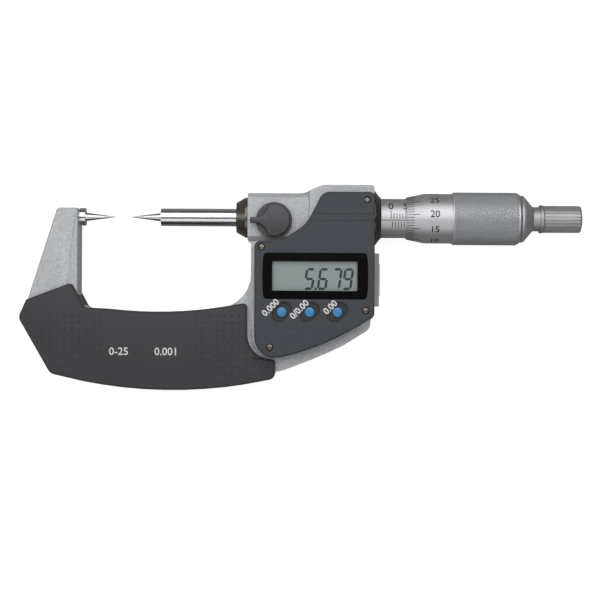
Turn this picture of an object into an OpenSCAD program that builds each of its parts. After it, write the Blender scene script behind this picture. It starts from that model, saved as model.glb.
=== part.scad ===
// Digital outside micrometer with needle-pointed measuring faces.
// The measuring axis runs along X. X is measured from the anvil's point, Y from the axis towards the
// top edge, and Z from the axis towards the display. place() then sets the part down on its back.

/* [Measuring] */
// Gap between the two points in the stored pose
opening = 5.679; // [0.5:0.001:24]
// Largest gap the instrument measures
measuring_range = 25; // [15:1:25]
// Diameter of the spindle and of the anvil
spindle_d = 6.0; // [5:0.05:6.8]
// Length of each needle point
needle_l = 10; // [6:0.5:12]
// Full angle of each needle point, in degrees
needle_angle = 15; // [10:1:25]
// Radius at the very end of a needle point
needle_tip_r = 0.15; // [0.1:0.05:0.3]
// Length of the carbide end of a needle point
carbide_l = 4; // [2:0.5:5]
// Length of anvil that shows in front of its post
anvil_l = 2; // [1:0.5:3]

/* [Frame] */
// Thickness of the cast bow
bow_t = 11; // [8:0.5:12]
// Height of the axis above the surface the tool lies on
axis_height = 10; // [9.6:0.1:14]
// Level of the rim that the display cover sits on, above the axis
rim_z = 8.6; // [8:0.2:10]
// Wall of the electronics housing
housing_wall = 2; // [1.2:0.2:2.6]
// Floor of the electronics housing
housing_floor = 2; // [1.4:0.2:2.6]
// Half height of the spindle boss
boss_r = 8; // [7.4:0.2:9]

/* [Heat shields] */
// Height of each shield's face from the middle of the bow
shield_z = 7.2; // [6.8:0.1:8]
// Bevel round each shield's face
shield_edge = 0.9; // [0.4:0.1:1]
// Running gap left wherever two fixed parts meet
fit_gap = 0.1; // [0.05:0.05:0.2]

/* [Display cover] */
// Depth of the cover from the rim to its face
cover_h = 4.4; // [3.6:0.2:6]
// Wall of the cover
cover_wall = 1.5; // [1:0.1:1.8]
// Bevel round the cover's face
cover_edge = 0.8; // [0.5:0.1:1.2]
// Width of the display window
window_w = 35; // [32:0.5:36]
// Height of the display window
window_h = 15.4; // [13:0.2:16]
// Thickness of the window
window_t = 1.1; // [0.8:0.1:1.5]
// Width of the liquid crystal's visible field
lcd_w = 28.5; // [24:0.5:30]
// Height of the liquid crystal's visible field
lcd_h = 9.9; // [8:0.1:11]

/* [Buttons and fasteners] */
// Diameter of a button
button_d = 3.3; // [2.8:0.1:3.8]
// Spacing of the three buttons
button_pitch = 9.3; // [8.5:0.1:9.6]
// Travel of a button
button_travel = 0.5; // [0.3:0.1:0.6]
// Diameter of a cover screw's head
screw_head_d = 2.1; // [1.8:0.1:2.3]
// Diameter of a cover screw's thread
screw_d = 1.4; // [1.2:0.1:1.6]

/* [Clamp] */
// Radius of the clamp knob
clamp_r = 6.1; // [5:0.1:6.4]
// Reach of the clamp lever's tail from its axis
clamp_reach = 8.1; // [7:0.1:8.4]

/* [Thimble and sleeve] */
// Diameter of the graduated sleeve
sleeve_d = 13.4; // [12.6:0.1:14]
// Diameter of the knurled grip
knurl_d = 18; // [17:0.1:19]
// Diameter of the plain part of the thimble
thimble_d = 16.9; // [16.2:0.1:17.4]
// Diameter of the bevelled edge of the thimble
bevel_d = 14.3; // [14.2:0.05:14.8]
// Length of the bevel
bevel_l = 6; // [4:0.5:7]
// Length of the plain part, with the bevel
plain_l = 16; // [14:0.5:18]
// Length of the knurled grip
knurl_l = 22.7; // [18:0.1:26]
// Pitch of the spindle's thread
thread_pitch = 0.5; // [0.5:0.5:1]

/* [Ratchet] */
// Diameter of the ratchet knob
knob_d = 9.2; // [8:0.1:10]
// Length of the ratchet knob
knob_l = 14.2; // [12:0.1:16]
// Diameter of the neck in front of the ratchet knob
neck_d = 8.3; // [7.6:0.1:8.4]
// Number of ratchet teeth
ratchet_teeth = 18; // [12:6:24]

/* [Battery and data socket] */
// Diameter of the button cell
cell_d = 11.6; // [9.5:0.1:11.6]
// Thickness of the button cell
cell_t = 5.4; // [3.6:0.1:5.4]
// Diameter of the battery cap
cap_d = 15.4; // [14:0.1:16]
// Height of the data socket's cover, along the side of the housing
port_l = 18; // [15:0.5:19]
// Width of the data socket's cover, front to back
port_w = 10.5; // [8:0.5:12]
// Thickness of the data socket's cover
port_t = 1.8; // [1.6:0.1:2.4]

/* [Hidden] */
$fn = 64;

e = 0.5;                                   // how far a cutting tool runs past what it cuts
run_gap = 0.03;                            // radial running clearance of the spindle and its seals
turn_gap = 0.25;                           // gap between parts that turn past each other

// outlines: [x, y, corner radius]
bow_z = bow_t / 2;
post_x = -anvil_l - needle_l;              // face of the anvil's post
anvil_shank_d = 0.6 * spindle_d;           // shank of the anvil, pressed into the post
sleeve_zero = 93.4;                        // where the sleeve's zero line is
sleeve_end = sleeve_zero + measuring_range + 2.6;
housing_end = 88;                          // rear face of the housing
boss_front = 45.4;                         // front face of the spindle boss
boss_back = 66;                            // where the boss runs into the housing
top_y = 10.8;                              // top edge of the housing
cover_z = rim_z + cover_h;                 // face of the display cover
cover_under = cover_z - cover_wall;        // underside of that face

// spindle and thimble, in the stored pose
thimble_x = sleeve_zero + opening;         // bevelled edge
knurl_x = thimble_x + plain_l;
thimble_end = knurl_x + knurl_l;
cap_x = thimble_end + 0.3;                 // the cap that closes the thimble
cap_l = 4.1;
neck_x = cap_x + cap_l + 0.1;
neck_l = 2.4;
knob_x = neck_x + neck_l;
wheel_x = cap_x + 0.1;                     // ratchet wheel, on the spindle's end
pawl_x = wheel_x + 1.9;
spindle_rear = wheel_x + 1;
thread_d = spindle_d + 1;
shank_end = thimble_x - 6;                 // where the thread starts

// origin: middle of the whole tool's footprint
left_end = -31.53;
bottom_end = -58.6;
origin_x = (left_end + knob_x + knob_l) / 2;
origin_y = (bottom_end + top_y) / 2;

// encoder, in front of the sleeve
rotor_x = 78;
rotor_l = 6;
encoder_r = 8.2;
encoder_x = rotor_x - 2.2;
disc_t = 1;
bush_end = 62;
key_w = 1.2;
key_h = 0.7;

// display stack
board_z = 4.6;
board_t = 1;
lcd_t = 1.8;
window_y = -20;
window_x = 68.2;
button_y = -32;
buttons_x = [for (i = [-1:1]) 66.4 + i * button_pitch];
screws_at = [[85.4, 5.5], [50.2, -10.3], [85.1, -31.4], [53.1, -43.8]];
boss_d = screw_d + 2.4;

// clamp
clamp_at = [54.3, -1.3];
clamp_seat_z = boss_r - 0.4;
clamp_disc_t = 1.6;
lever_t = 2.4;
shoe_d = 3.6;

// battery and socket
cell_at = [66, -24.5];
cap_recess = 0.2;
cap_t = 1.4;
lug_t = 0.8;
port_y = -21.1;
port_x = housing_end;

function unit(v) = v / norm(v);

// a corner p between a and b rounded to radius r, as points of its arc
function corner(a, p, b, r, n) =
    let (u = unit(a - p), v = unit(b - p), half = acos(u * v) / 2, c = p + unit(u + v) * r / sin(half),
        s = p + u * r / tan(half) - c, t = p + v * r / tan(half) - c,
        a0 = atan2(s.y, s.x), turn = (atan2(t.y, t.x) - a0 + 540) % 360 - 180)
    [for (i = [0:n]) c + r * [cos(a0 + turn * i / n), sin(a0 + turn * i / n)]];

function flat(p) = [p.x, p.y];

// a closed outline from [x, y, radius] points
function outline(p, n = 6) =
    [for (i = [0:len(p) - 1])
        let (a = flat(p[(i + len(p) - 1) % len(p)]), b = flat(p[i]), c = flat(p[(i + 1) % len(p)]))
        each p[i][2] > 0 ? corner(a, b, c, p[i][2], n) : [b]];

// the points between a and b on an arc that stands sag proud of their chord, to its right
function arc_between(a, b, sag, n = 10) =
    let (h = norm(b - a) / 2, r = (h * h + sag * sag) / (2 * abs(sag)), d = unit(b - a), k = sign(sag),
        c = (a + b) / 2 - k * [d.y, -d.x] * (r - abs(sag)), a0 = atan2(a.y - c.y, a.x - c.x),
        turn = k * 2 * asin(h / r))
    [for (i = [1:n - 1]) [c.x + r * cos(a0 + turn * i / n), c.y + r * sin(a0 + turn * i / n), 0]];

// a counterclockwise outline moved inwards by d
function inset(p, d) =
    [for (i = [0:len(p) - 1])
        let (a = p[(i + len(p) - 1) % len(p)], b = p[i], c = p[(i + 1) % len(p)],
            u = unit(b - a), v = unit(c - b), m = [-u.y, u.x], n = [-v.y, v.x])
        b + d * (m + n) / (1 + m * n)];

shield_outline = outline(concat(
    [[-29.2, -28.3, 0.6], [-31.9, -34.3, 3], [-21, -53.2, 3]],
    arc_between([-16.5, -54.3], [51.5, -55.3], 3.8),
    [[54.9, -54.6, 2.4], [54.9, -48.1, 1.2], [45.4, -48.1, 8.4], [45.4, -29, 1.4]],
    arc_between([42, -29.5], [-7.2, -30.7], -2.1),
    [[-9.4, -31, 2.2], [-13.9, -22.5, 1.6]]));

cover_outline = outline(concat(
    [[housing_end, 8.2, 1.8], [70.7, 8.2, 3.6], [65.2, -2.6, 11], [56.6, -8.3, 5], [47.9, -8.3, 1.8],
        [47.9, -49.4, 7]],
    arc_between([57.2, -47.1], [86, -34.6], 1.35, 8),
    [[housing_end, -33.2, 1.5]]));

// the bow runs from the anvil's post, round under the shields, to the foot of the housing
bow_outline = outline(concat(
    [[post_x, 2.85, 0.6], [-19.1, 2.85, 1.2], [-28.7, -27.4, 1], [-30.5, -34.2, 2], [-20.2, -51.8, 2]],
    arc_between([-16, -53], [52, -53.6], 3.6),
    [[58.2, -51.6, 6]],
    arc_between([62, -50.1], [83, -40.5], 0.5, 4),
    [[87, -37.6, 3.6], [87, -20, 0], [62, -6, 0], [46.6, -6, 0], [46.6, -29.3, 12]],
    arc_between([37, -30.9], [-4, -31.7], -1.6),
    [[post_x, -31.6, 6.5]]));

// the housing stands up from the bow around the electronics
housing_outline = outline(concat(
    [[housing_end, top_y, 1.1], [70.6, top_y, 8], [64, boss_r, 8], [boss_front, boss_r, 0.5],
        [boss_front, -boss_r, 0.5], [46.6, -boss_r - 0.8, 0.5], [46.6, -47.7, 7.6], [55.2, -47.7, 0]],
    arc_between([59.5, -46.9], [86, -35.6], 1.4, 8),
    [[housing_end, -33.6, 1.5]]));

// inside of the housing, below the sleeve
cavity_outline = outline([[housing_end - housing_wall, -11.4, 1.5], [48.8, -11.4, 1.5], [48.8, -43.6, 4],
    [56.4, -43.8, 3], [housing_end - housing_wall, -31.4, 2]]);

module place() { translate([-origin_x, -origin_y, axis_height]) children(); }

// solid between two levels
module between(z0, z1) { translate([0, 0, z0]) linear_extrude(z1 - z0) children(); }

// cylinder about the measuring axis
module shaft(x0, x1, d, d2 = undef) {
    translate([x0, 0, 0]) rotate([0, 90, 0])
        cylinder(h = x1 - x0, d1 = d, d2 = d2 == undef ? d : d2);
}

// tube about the measuring axis
module tube(x0, x1, outer, inner) {
    difference() {
        shaft(x0, x1, outer);
        shaft(x0 - e, x1 + e, inner);
    }
}

// turned about the measuring axis: points are [x, radius]
module turned(points) {
    rotate([0, 90, 0]) rotate([0, 0, 90]) rotate_extrude() polygon([for (p = points) [p.y, p.x]]);
}

// a slot with round ends, l long over all
module slot(l, w) {
    for (s = [-1, 1]) translate([s * (l - w) / 2, 0]) circle(d = w);
    square([l - w, w], center = true);
}

// a closed coil of round wire about Z
module coil(mean_d, wire, turns, h, sides = 6, steps = 14) {
    rings = turns * steps;
    points = [for (i = [0:rings]) let (a = 360 * i / steps)
        for (k = [0:sides - 1]) let (b = 360 * k / sides, r = mean_d / 2 + wire / 2 * cos(b))
            [r * cos(a), r * sin(a), wire / 2 + (h - wire) * i / rings + wire / 2 * sin(b)]];
    faces = concat(
        [[for (k = [0:sides - 1]) k]],
        [for (i = [0:rings - 1], k = [0:sides - 1])
            let (a = i * sides, n = (k + 1) % sides) [a + k, a + sides + k, a + sides + n, a + n]],
        [[for (k = [sides - 1:-1:0]) rings * sides + k]]);
    polyhedron(points, faces, convexity = 4);
}

// ---- frame and anvil ----

module frame() color("lightgray") difference() {
    union() {
        between(-bow_z, bow_z) polygon(bow_outline);
        // housing, with its boss left out
        intersection() {
            between(-axis_height, rim_z) polygon(housing_outline);
            union() {
                translate([boss_back, -100, -50]) cube([100, 200, 100]);
                translate([0, -100, -50]) cube([100, 200 / 2 - boss_r - 0.3, 100]);
            }
        }
        // spindle boss: four flats with round corners
        intersection() {
            between(-boss_r, clamp_seat_z) polygon(housing_outline);
            shaft(boss_front, boss_back + 6, 2 * boss_r + 4);
        }
    }
    // electronics pocket, open to the display side
    between(-axis_height + housing_floor, rim_z + e) polygon(cavity_outline);
    // anvil's hole
    shaft(post_x - 7, post_x + e, anvil_shank_d + 0.02);
    // bore for the guide bush, then the encoder's chamber, then the sleeve's seat
    shaft(boss_front - e, bush_end, spindle_d + 3);
    shaft(bush_end - e, encoder_x + e, spindle_d + 1);
    shaft(encoder_x, housing_end - 3, 2 * encoder_r);
    shaft(housing_end - 3 - e, housing_end + e, sleeve_d);
    // passage from the encoder to the electronics
    translate([encoder_x + 1, -12, -3]) cube([6, 9, 6]);
    // clamp screw
    translate([clamp_at.x, clamp_at.y, 0]) cylinder(h = 20, d = shoe_d + 0.1);
    translate([clamp_at.x, clamp_at.y, 5]) cylinder(h = 20, d = 5.1);
    // tapped holes for the cover's screws
    for (p = screws_at) translate([p.x, p.y, rim_z - 3.7]) cylinder(h = 6, d = screw_d - 0.3);
    // battery cap's hole with two notches for its lugs
    translate([cell_at.x, cell_at.y, -axis_height - e]) {
        cylinder(h = housing_floor + 2 * e, d = cap_d + 0.2);
        for (s = [0, 180]) rotate(s) translate([cap_d / 2 - 0.8, -1.6, 0])
            cube([2, 3.2, housing_floor + 2 * e]);
    }
    // data socket's window and its two tapped holes
    translate([housing_end - housing_wall - e, port_y - 5.1, -3.1]) cube([housing_wall + 2 * e, 10.2, 6.2]);
    for (s = [-1, 1]) translate([housing_end - housing_wall - e, port_y + s * (port_l / 2 - 1.6), 0])
        rotate([0, 90, 0]) cylinder(h = housing_wall + 2 * e, d = 0.9);
}

// a needle point that ends at x 0 and widens towards -x; from is where it starts
module needle(from, to) {
    slope = tan(needle_angle / 2);
    centre = -needle_tip_r / sin(needle_angle / 2);
    turned(to > -1
        ? concat([[from, 0], [from, -from * slope]],
            [for (a = [needle_angle / 2:11.79:90]) [centre + needle_tip_r * sin(a), needle_tip_r * cos(a)]],
            [[centre + needle_tip_r, 0]])
        : [[from, 0], [from, -from * slope], [to, -to * slope], [to, 0]]);
}

// the sharp end is shortened by its radius, so the point itself is moved out to the measuring face
needle_point = needle_tip_r / sin(needle_angle / 2) - needle_tip_r;

module anvil() color("silver") {
    shaft(post_x - 6.5, post_x, anvil_shank_d);
    shaft(post_x, -needle_l, spindle_d);
    translate([needle_point, 0, 0]) needle(-needle_l - needle_point, -carbide_l - needle_point);
}

module anvil_tip() color("dimgray") translate([needle_point, 0, 0]) needle(-carbide_l - needle_point, 0);

// ---- heat shields ----

// one shell, open towards the bow; the back one is its mirror image
module shield() {
    difference() {
        union() {
            between(0.02, shield_z - shield_edge) polygon(shield_outline);
            between(shield_z - shield_edge, shield_z) polygon(inset(shield_outline, 0.4));
        }
        // the bow inside, with the gap that lets the shield be pressed on
        between(-e, bow_z + fit_gap) polygon(inset(bow_outline, -fit_gap));
    }
}

module front_heat_shield() color("#3a3a3f") shield();

module back_heat_shield() color("#3a3a3f") mirror([0, 0, 1]) shield();

// ---- spindle guide and clamp ----

module seal_nut() color("#26261f") difference() {
    union() {
        shaft(boss_front - 4, boss_front - 0.9, 10.2, 13.7);
        shaft(boss_front - 0.9, boss_front, 13.7);
    }
    shaft(boss_front - 5, boss_front + e, spindle_d + 0.5);
    shaft(boss_front - 2.6, boss_front + e, spindle_d + 2.6);
}

module spindle_wiper() color("#202020")
    tube(boss_front - 2.5, boss_front - 1, spindle_d + 2.58, spindle_d + 2 * run_gap);

// bronze bush pressed into the boss; its nose carries the nut
module guide_bush() color("#b08d57") difference() {
    union() {
        shaft(boss_front - 0.9, boss_front + 1, spindle_d + 2.58);
        shaft(boss_front + 0.02, bush_end, spindle_d + 2.98);
    }
    shaft(boss_front - 2, bush_end + e, spindle_d + 2 * run_gap);
    translate([clamp_at.x, clamp_at.y, 0]) cylinder(h = 10, d = shoe_d + 0.1);
}

module clamp_shoe() color("#c8a24a") translate([clamp_at.x, clamp_at.y, spindle_d / 2 + 0.05])
    cylinder(h = 5.2 - spindle_d / 2, d = shoe_d);

module clamp_screw() color("silver") translate([clamp_at.x, clamp_at.y, 5.3])
    cylinder(h = clamp_seat_z + clamp_disc_t - 5.3, d = 5);

module clamp_lever() color("#3c3c42") translate([clamp_at.x, clamp_at.y, clamp_seat_z + 0.1]) {
    difference() {
        cylinder(h = clamp_disc_t, r = clamp_r);
        translate([0, 0, -e]) cylinder(h = clamp_disc_t + e - 0.1, d = 5.05);
    }
    // the lever: a round head that narrows through two hollow flanks to its tail
    translate([0, 0, clamp_disc_t]) linear_extrude(lever_t) polygon(lever_outline);
}

head_r = clamp_r - 0.7;
tail_w = 1.9;
flank_angle = 112;
head_end = head_r * [cos(flank_angle), sin(flank_angle)];
tail_root = [-head_r - 0.5, tail_w / 2];
lever_outline = outline(concat(
    [for (a = [-flank_angle:(2 * flank_angle) / 24:flank_angle]) [head_r * cos(a), head_r * sin(a), 0]],
    arc_between(head_end, tail_root, -0.95, 8),
    [[tail_root.x, tail_root.y, 0], [-clamp_reach, tail_w / 2, 0.6],
        [-clamp_reach, -tail_w / 2, 0.6], [tail_root.x, -tail_root.y, 0]],
    arc_between([tail_root.x, -tail_root.y], [head_end.x, -head_end.y], -0.95, 8)));

// ---- encoder ----

module rotor_spring() color("silver") tube(encoder_x + 0.1, rotor_x - 0.1, spindle_d + 4.6, spindle_d + 2);

module rotor_bush() color("#c8a24a") {
    difference() {
        shaft(rotor_x, rotor_x + rotor_l, spindle_d + 3.6);
        shaft(rotor_x - e, rotor_x + rotor_l + e, spindle_d + 2 * run_gap);
    }
    // key that runs in the spindle's groove
    translate([rotor_x + 1, -key_w / 2, spindle_d / 2 - key_h + 0.1]) cube([3, key_w, key_h + 0.3]);
}

module encoder_rotor() color("#2f6b3a")
    tube(rotor_x + rotor_l - disc_t, rotor_x + rotor_l, 2 * encoder_r - 1, spindle_d + 3.6);

module encoder_stator() color("#2f6b3a")
    tube(rotor_x + rotor_l + turn_gap, housing_end - 3 - turn_gap, 2 * encoder_r - 0.04, thread_d + 1);

// ---- sleeve ----

nut_l = 12;
module inner_sleeve() color("#c0c0c4") difference() {
    union() {
        shaft(housing_end - 2.9, sleeve_end + 1, sleeve_d - 2.4);
        shaft(sleeve_end + 1, sleeve_end + 5, sleeve_d - 2.4, sleeve_d - 3.4);
    }
    shaft(housing_end - 5, sleeve_end + 5 - nut_l, thread_d + 0.6);
    shaft(housing_end, sleeve_end + 6, thread_d + 2 * run_gap);
    // slits that let the nut be closed on the thread
    for (a = [0:120:240]) rotate([a, 0, 0]) translate([sleeve_end - 5, -0.3, 0]) cube([12, 0.6, 10]);
}

module taper_nut() color("#a0a0a6") difference() {
    shaft(sleeve_end + 1.2, sleeve_end + 4.8, sleeve_d - 0.4);
    shaft(sleeve_end + 1.1, sleeve_end + 5.1, sleeve_d - 2.36, sleeve_d - 3.36);
}

module sleeve() color("#c9cbd0")
    tube(housing_end - 2.9, sleeve_end, sleeve_d - 0.02, sleeve_d - 2.4 + 0.04);

module sleeve_collar() color("#1c1c1e") difference() {
    union() {
        shaft(housing_end + 0.02, housing_end + 0.5, 18.8);
        shaft(housing_end + 0.5, housing_end + 2, 18.8, 14.8);
        shaft(housing_end + 2, housing_end + 2.4, 14.8, 14.2);
    }
    shaft(housing_end - e, housing_end + 3, sleeve_d + 0.04);
}

// ---- spindle and thimble ----

module spindle() color("silver") difference() {
    union() {
        shaft(opening + needle_l, shank_end, spindle_d);
        shaft(shank_end, thimble_end - 4.5, thread_d);
        shaft(thimble_end - 4.5, spindle_rear, spindle_d);
        translate([opening - needle_point, 0, 0]) mirror([1, 0, 0]) needle(-needle_l - needle_point, -carbide_l - needle_point);
    }
    // groove for the encoder's key, as long as the travel
    translate([rotor_x - (measuring_range - opening) - 1, -key_w / 2 - 0.05, spindle_d / 2 - key_h])
        cube([measuring_range + 6, key_w + 0.1, 3]);
    // tapped hole for the ratchet's screw
    shaft(spindle_rear - 7, spindle_rear + e, 2.5);
}

module spindle_tip() color("dimgray")
    translate([opening - needle_point, 0, 0]) mirror([1, 0, 0]) needle(-carbide_l - needle_point, 0);

module thimble() color("#bfc2c8") difference() {
    union() {
        shaft(thimble_x, thimble_x + bevel_l, bevel_d, thimble_d);
        shaft(thimble_x + bevel_l, knurl_x, thimble_d);
        shaft(knurl_x, knurl_x + 0.5, thimble_d, knurl_d);
        shaft(knurl_x + 0.5, thimble_end - 0.7, knurl_d);
        shaft(thimble_end - 0.7, thimble_end, knurl_d, knurl_d - 1.4);
    }
    // bore over the sleeve, with a groove for the seal, and the seat on the spindle
    shaft(thimble_x - e, thimble_end - 4.5, sleeve_d + 0.3);
    shaft(thimble_x + 9, thimble_x + 11, sleeve_d + 1.6);
    shaft(thimble_end - 5, thimble_end + e, spindle_d + 0.02);
}

module thimble_seal() color("#202020")
    tube(thimble_x + 9.1, thimble_x + 10.9, sleeve_d + 1.58, sleeve_d + 2 * run_gap);

module thimble_cap() color("#a9abb0") difference() {
    turned([[thimble_end + 0.02, 0], [thimble_end + 0.02, 7], [cap_x, 7], [cap_x, 7.9], [cap_x + 0.5, 8.05],
        [cap_x + 1.1, 7.8], [cap_x + cap_l - 0.3, 4.6], [cap_x + cap_l, 4.35], [cap_x + cap_l, 0]]);
    shaft(cap_x - e, cap_x + cap_l + e, neck_d + 2 * turn_gap - 1.2);
    shaft(cap_x - 1, cap_x + 2.5, 10);
}

// ---- ratchet ----

module ratchet_wheel() color("#8f9298") difference() {
    union() {
        shaft(wheel_x, wheel_x + 1, 9.9);
        // saw teeth on the rear face
        for (i = [0:ratchet_teeth - 1]) rotate([i * 360 / ratchet_teeth, 0, 0])
            translate([wheel_x + 0.8, 0, 0]) rotate([0, 90, 0]) linear_extrude(0.55)
                polygon([for (c = [[3.4, -5], [4.8, -5], [4.8, 5], [3.4, 5]]) c.x * [cos(c.y), sin(c.y)]]);
    }
    shaft(wheel_x - e, wheel_x + 2, spindle_d + 0.02);
}

// spring steel ring with three fingers that click over the teeth
module ratchet_pawl() color("silver") {
    tube(pawl_x, pawl_x + 0.3, 6.6, 3.1);
    for (a = [0:120:240]) rotate([a + 10, 0, 0])
        translate([wheel_x + 1.4, 0, 0]) rotate([0, 90, 0]) linear_extrude(pawl_x - wheel_x - 1.15)
            polygon([for (c = [[2.6, -4], [4.4, -4], [4.4, 4], [2.6, 4]]) c.x * [cos(c.y), sin(c.y)]]);
}

module ratchet_screw() color("silver") {
    shaft(spindle_rear - 6.5, spindle_rear, 2.46);
    shaft(spindle_rear, knob_x + knob_l - 3.4, 3);
    shaft(knob_x + knob_l - 3.4, knob_x + knob_l - 2.2, 5);
}

module ratchet_neck() color("#c4ccd6") difference() {
    union() {
        shaft(pawl_x + 0.3, neck_x - 0.1, neck_d - 1.2);
        shaft(neck_x, knob_x, neck_d);
        shaft(neck_x - 0.2, neck_x + 0.2, neck_d - 1.2);
    }
    shaft(pawl_x, knob_x + e, 3.1);
}

module ratchet_spring() color("silver") translate([knob_x + 0.1, 0, 0]) rotate([0, 90, 0])
    coil(4.3, 0.5, 5, knob_l - 3.7);

module ratchet_knob() color("#a3a5a9") difference() {
    turned([[knob_x, 0], [knob_x, knob_d / 2 + 0.2], [knob_x + 0.9, knob_d / 2 + 0.2], [knob_x + 1.2, knob_d / 2],
        [knob_x + knob_l - 1.4, knob_d / 2 - 0.15], [knob_x + knob_l - 0.4, knob_d / 2 - 0.6],
        [knob_x + knob_l, knob_d / 2 - 1.5], [knob_x + knob_l, 0]]);
    shaft(knob_x - e, knob_x + knob_l - 2, 5.4);
}

// ---- display ----

module cover_screw_place() { for (p = screws_at) translate([p.x, p.y, 0]) children(); }

module window_outline(grow = 0) {
    w = window_w / 2 + grow;
    h = window_h / 2 + grow;
    polygon([for (p = outline(concat(
        arc_between([w - 0.3, -h], [w - 0.3, h], 0.4, 6), [[w - 0.4, h, 1.2], [-w + 0.4, h, 1.2]],
        arc_between([-w + 0.3, h], [-w + 0.3, -h], 0.4, 6), [[-w + 0.4, -h, 1.2], [w - 0.4, -h, 1.2]])))
        p + [window_x, window_y]]);
}

module front_cover() color("#454a52") difference() {
    union() {
        difference() {
            union() {
                between(rim_z + 0.3, cover_z - cover_edge) polygon(cover_outline);
                between(cover_z - cover_edge, cover_z) polygon(inset(cover_outline, 0.5));
            }
            between(rim_z, cover_under) polygon(inset(cover_outline, cover_wall));
        }
        // screw pillars inside
        intersection() {
            between(rim_z + 0.3, cover_under + 0.1) polygon(inset(cover_outline, 0.6));
            cover_screw_place() cylinder(h = 30, d = boss_d);
        }
    }
    // window and its ledge
    between(cover_z - window_t - 0.1, cover_z + e) window_outline(0.05);
    translate([window_x - lcd_w / 2 - 1, window_y - lcd_h / 2 - 1, rim_z]) cube([lcd_w + 2, lcd_h + 2, 20]);
    // a slanted finger recess and a hole for each button
    for (x = buttons_x) translate([x, button_y, 0]) {
        translate([0, 0, cover_z - 0.8]) linear_extrude(2) rotate(45) slot(7.6, 5);
        cylinder(h = 30, d = button_d + 0.2);
    }
    // screw holes, and recesses for their heads
    cover_screw_place() {
        cylinder(h = 30, d = screw_d + 0.2);
        translate([0, 0, cover_z - 1.5]) cylinder(h = 5, d = screw_head_d + 0.3);
    }
    // two pairs of grooves across the top of the cover
    for (y = [-1.7, 0.6]) translate([60, y, cover_z - 0.2]) cube([40, 0.35, 2]);
}

module cover_gasket() color("#202020") difference() {
    between(rim_z, rim_z + 0.3) polygon(inset(cover_outline, 0.3));
    between(rim_z - e, rim_z + 1) polygon(inset(cover_outline, 1.1));
}

// pan heads with a cross recess
module cover_screws() color("silver") cover_screw_place() {
    translate([0, 0, rim_z - 3.4]) cylinder(h = 3.6, d = screw_d - 0.32);
    translate([0, 0, rim_z + 0.1]) cylinder(h = cover_z - 1.5 - rim_z, d = screw_d);
    difference() {
        translate([0, 0, cover_z - 1.48]) cylinder(h = 0.9, d = screw_head_d);
        for (a = [0, 90]) rotate(a) translate([-0.7, -0.15, cover_z - 1.1]) cube([1.4, 0.3, 2]);
    }
}

module display_window() color("#101012") between(cover_z - window_t, cover_z - 0.15) window_outline();

lcd_z = cover_z - window_t - 0.3 - lcd_t;

module lcd_panel() color("#9aa39a")
    translate([window_x - lcd_w / 2 - 0.8, window_y - lcd_h / 2 - 0.8, lcd_z]) cube([lcd_w + 1.6, lcd_h + 1.6, lcd_t]);

module lcd_holder() color("#e6e6e0") difference() {
    translate([window_x - lcd_w / 2 - 2.4, window_y - lcd_h / 2 - 1.9, board_z + board_t])
        cube([lcd_w + 4.8, lcd_h + 3.8, lcd_z + lcd_t - 0.6 - board_z - board_t]);
    translate([window_x - lcd_w / 2 - 0.9, window_y - lcd_h / 2 - 0.9, 0]) cube([lcd_w + 1.8, lcd_h + 1.8, 20]);
}

module contact_strips() color("#5a5a5e") for (s = [-1, 1])
    translate([window_x - lcd_w / 2, window_y + s * (lcd_h / 2 - 0.3) - 0.6, board_z + board_t])
        cube([lcd_w, 1.2, lcd_z - board_z - board_t]);

module main_board() color("#2f6b3a") {
    difference() {
        between(board_z, board_z + board_t) polygon(inset(cavity_outline, 0.3));
        cover_screw_place() cylinder(h = 20, d = boss_d + 0.6);
    }
    // encoder chip and processor under the board
    for (x = [56, 78]) translate([x - 3, -26, board_z - 1.2]) cube([6, 6, 1.2]);
}

module switch_domes() color("silver") for (x = buttons_x)
    translate([x, button_y, board_z + board_t]) {
        cylinder(h = 0.3, d = 4);
        cylinder(h = 0.7, d = 2.4);
    }

stem_z = board_z + board_t + 0.7 + button_travel + 0.1;
button_top = cover_z + 0.1;

module button_at(x) color("#2f7fd0") translate([x, button_y, 0]) {
    translate([0, 0, stem_z]) cylinder(h = button_top - 0.3 - stem_z, d = button_d);
    translate([0, 0, button_top - 0.3]) cylinder(h = 0.3, d1 = button_d, d2 = button_d - 0.7);
    translate([0, 0, cover_under - 0.7]) cylinder(h = 0.6, d = button_d + 1);
}

module button_left() button_at(buttons_x[0]);
module button_middle() button_at(buttons_x[1]);
module button_right() button_at(buttons_x[2]);

// ---- battery ----

cap_bottom = -axis_height + cap_recess;
cell_z = -axis_height + housing_floor + lug_t + 0.2;

module battery() color("silver") translate([cell_at.x, cell_at.y, cell_z]) {
    cylinder(h = 0.6, d = cell_d - 1.6);
    translate([0, 0, 0.4]) cylinder(h = cell_t - 0.4, d = cell_d);
}

module battery_spring() color("#c8a24a") translate([cell_at.x, cell_at.y, cell_z + cell_t])
    coil(6, 0.5, 2, board_z - cell_z - cell_t);

module battery_cap() color("#26262a") translate([cell_at.x, cell_at.y, 0]) {
    difference() {
        translate([0, 0, cap_bottom]) cylinder(h = cell_z - 0.1 - cap_bottom, d = cap_d - 0.2);
        translate([-5.5, -0.7, cap_bottom - e]) cube([11, 1.4, e + 0.8]);
        translate([0, 0, -axis_height + 0.7]) rotate_extrude() translate([cap_d / 2 - 0.8, 0]) square([2, 0.8]);
    }
    // lugs that lock over the housing's floor a sixth of a turn from their notches
    intersection() {
        for (s = [0, 180]) rotate(s + 60) translate([cap_d / 2 - 1.5, -1.4, -axis_height + housing_floor + 0.1])
            cube([2.8, 2.8, lug_t - 0.1]);
        translate([0, 0, -20]) cylinder(h = 40, d = cap_d + 2);
    }
}

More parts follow.
